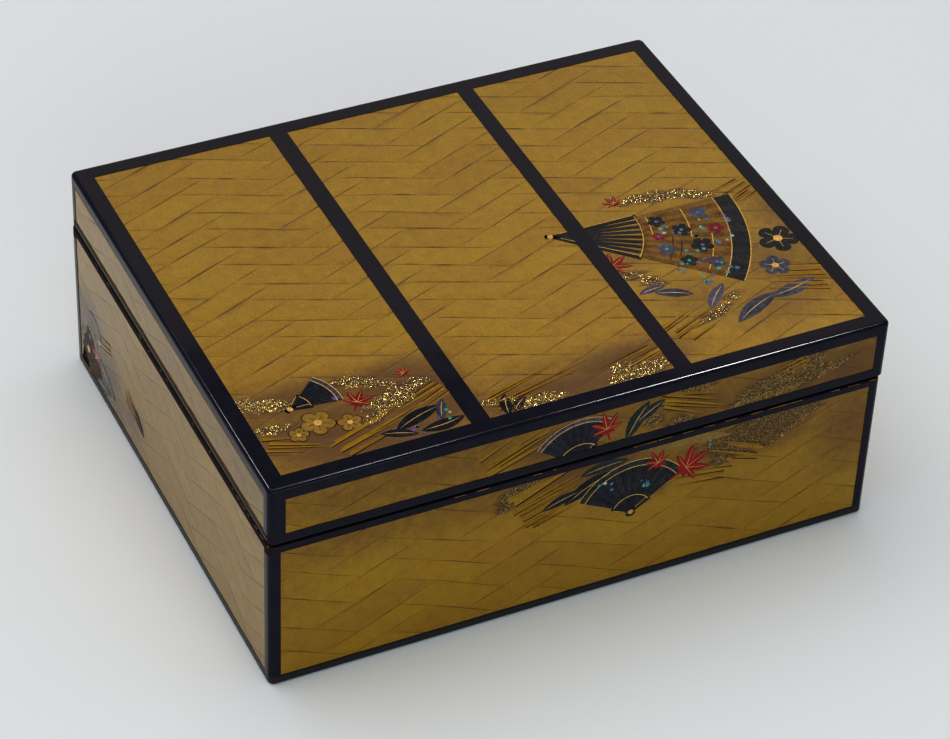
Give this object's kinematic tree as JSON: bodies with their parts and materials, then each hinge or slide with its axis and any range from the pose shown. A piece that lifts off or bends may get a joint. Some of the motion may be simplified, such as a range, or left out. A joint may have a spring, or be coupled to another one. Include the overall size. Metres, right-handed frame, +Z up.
{
  "type": "box with tray",
  "caption": "Small rectangular lacquered wooden box with a lift-off lid and a hanging inner tray, faced with plaited gold panels in black borders.",
  "frame": {"origin": "under the middle of the closed box, on the surface that it stands on", "axes": "+X along the long side, to the right of the front, +Y to the back, +Z up"},
  "size_m": [0.12, 0.0988, 0.045],
  "materials": {
    "black_lacquer": "polished black lacquer on wood",
    "tray_lacquer": "polished black lacquer with sprinkled gold inside",
    "gold_weave": "sprinkled gold powder under clear lacquer, in a plaited strip pattern",
    "inlay": "coloured lacquer, gold flakes and shell flecks, slightly raised"
  },
  "bodies": {
    "root": {"box_body": "black_lacquer", "lid": "black_lacquer", "tray": "tray_lacquer"}
  },
  "joints": []
}
